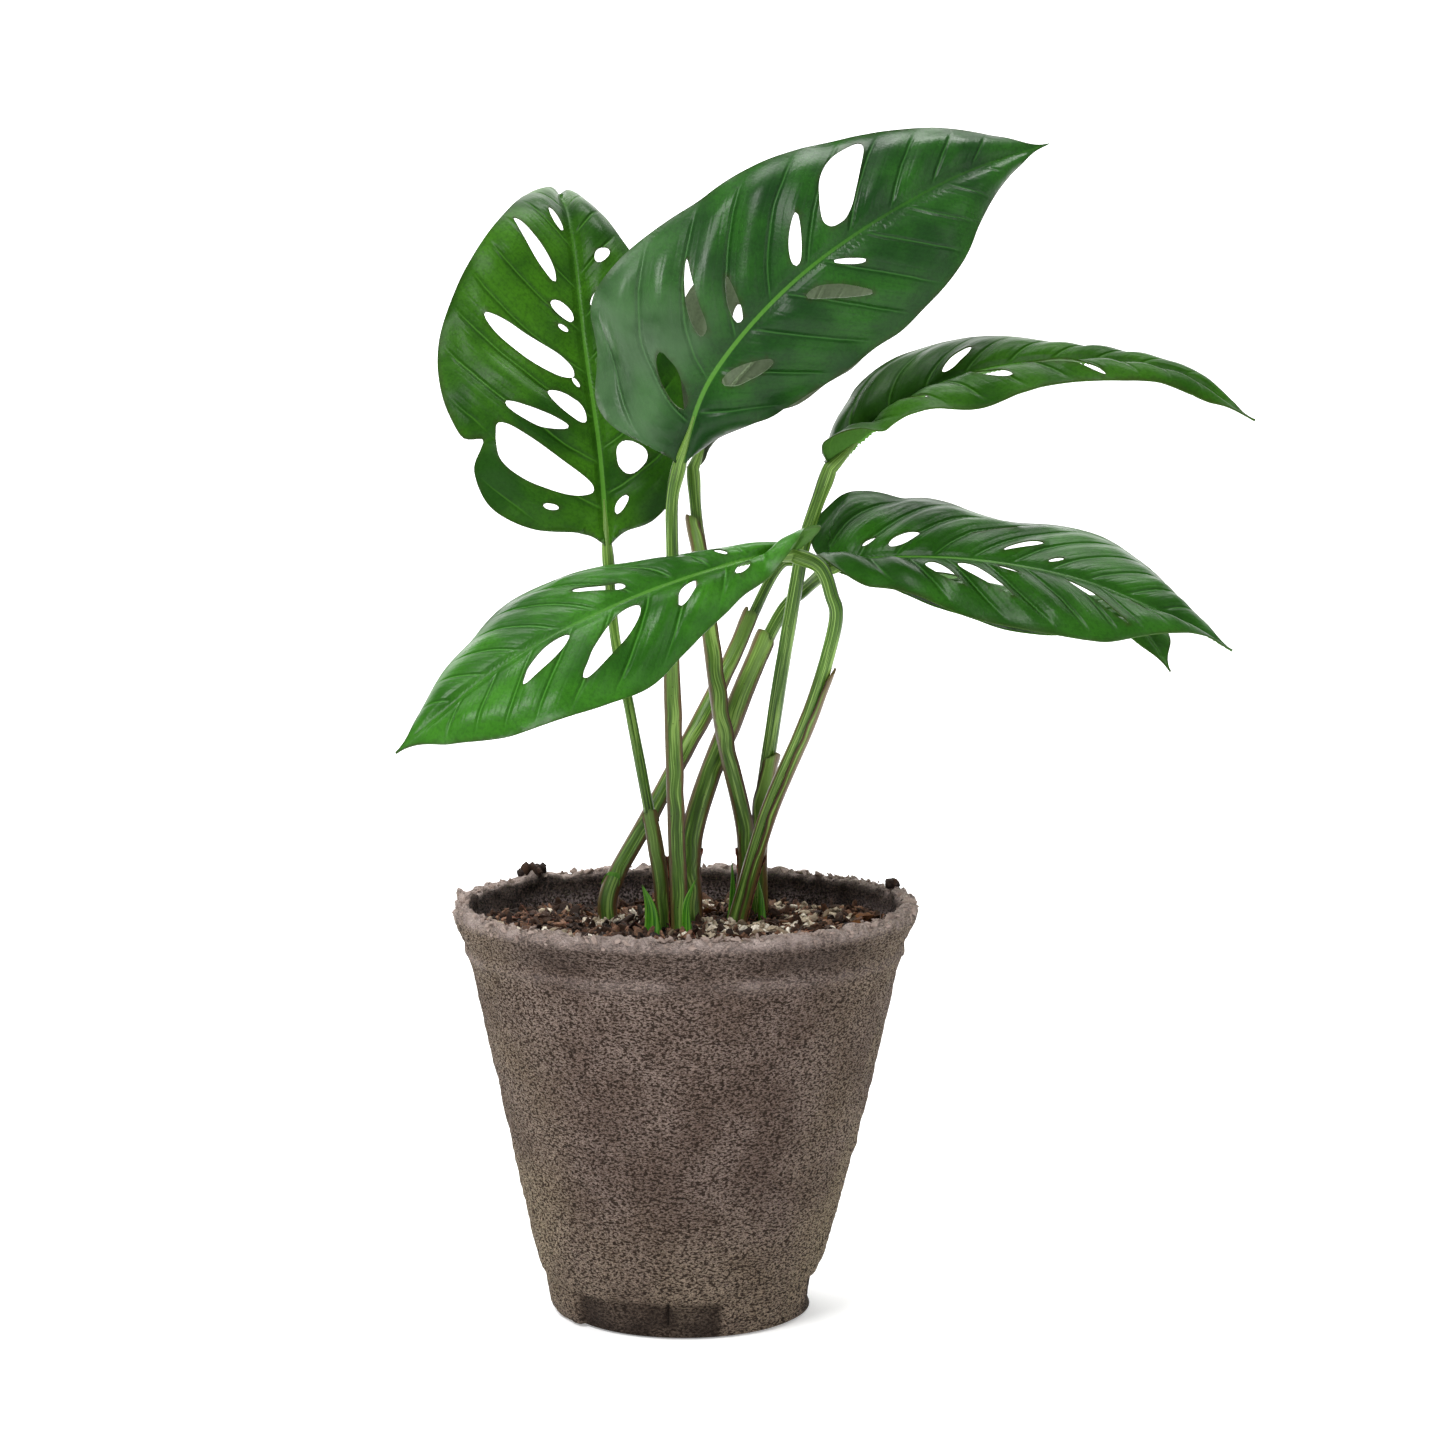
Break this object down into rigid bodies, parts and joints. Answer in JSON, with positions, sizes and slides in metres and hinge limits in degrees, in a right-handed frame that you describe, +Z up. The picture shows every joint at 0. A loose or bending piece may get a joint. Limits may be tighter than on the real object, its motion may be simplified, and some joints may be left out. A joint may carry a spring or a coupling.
{
  "type": "potted monstera plant",
  "caption": "Young monstera with broad holed leaves on slender upright stalks, growing in a tapered moulded fibre nursery pot filled with potting mix.",
  "frame": {"origin": "centre of the flat underside of the pot", "axes": "+Z up, along the pot's axis; the front of the plant, with the large top leaf, faces -Y; +X to the right seen from the front"},
  "size_m": [0.2113, 0.14, 0.3028],
  "materials": {
    "fibre": "rough moulded paper and peat fibre",
    "potting_mix": "loose dark bark and peat",
    "leaf_blade": "glossy dark green, veined",
    "leaf_stalk": "satin green with brown sheath edges",
    "new_growth": "satin fresh green",
    "bark": "rough bark",
    "perlite": "matt, porous"
  },
  "bodies": {
    "root": {"bark_chip_01": "bark", "bark_chip_03": "bark", "bark_chip_05": "bark", "bark_chip_07": "bark", "bark_chip_09": "bark", "bark_chip_11": "bark", "bark_chip_13": "bark", "bark_chip_15": "bark", "bark_chip_17": "bark", "bark_chip_19": "bark", "bark_chip_21": "bark", "leaf_back_left": "leaf_blade", "leaf_back_middle": "leaf_blade", "leaf_left_lower": "leaf_blade", "leaf_right_back": "leaf_blade", "leaf_right_lower": "leaf_blade", "leaf_right_upper": "leaf_blade", "leaf_top_front": "leaf_blade", "new_leaf_spear": "new_growth", "perlite_02": "perlite", "perlite_04": "perlite", "perlite_06": "perlite", "perlite_08": "perlite", "perlite_10": "perlite", "perlite_12": "perlite", "perlite_14": "perlite", "perlite_16": "perlite", "perlite_18": "perlite", "perlite_20": "perlite", "perlite_22": "perlite", "pot": "fibre", "sheath_stub_right": "new_growth", "side_shoot_middle": "new_growth", "side_shoot_right": "new_growth", "soil": "potting_mix", "stalk_back_left": "leaf_stalk", "stalk_back_middle": "leaf_stalk", "stalk_left_lower": "leaf_stalk", "stalk_right_back": "leaf_stalk", "stalk_right_lower": "leaf_stalk", "stalk_right_upper": "leaf_stalk", "stalk_top_front": "leaf_stalk"}
  },
  "joints": []
}
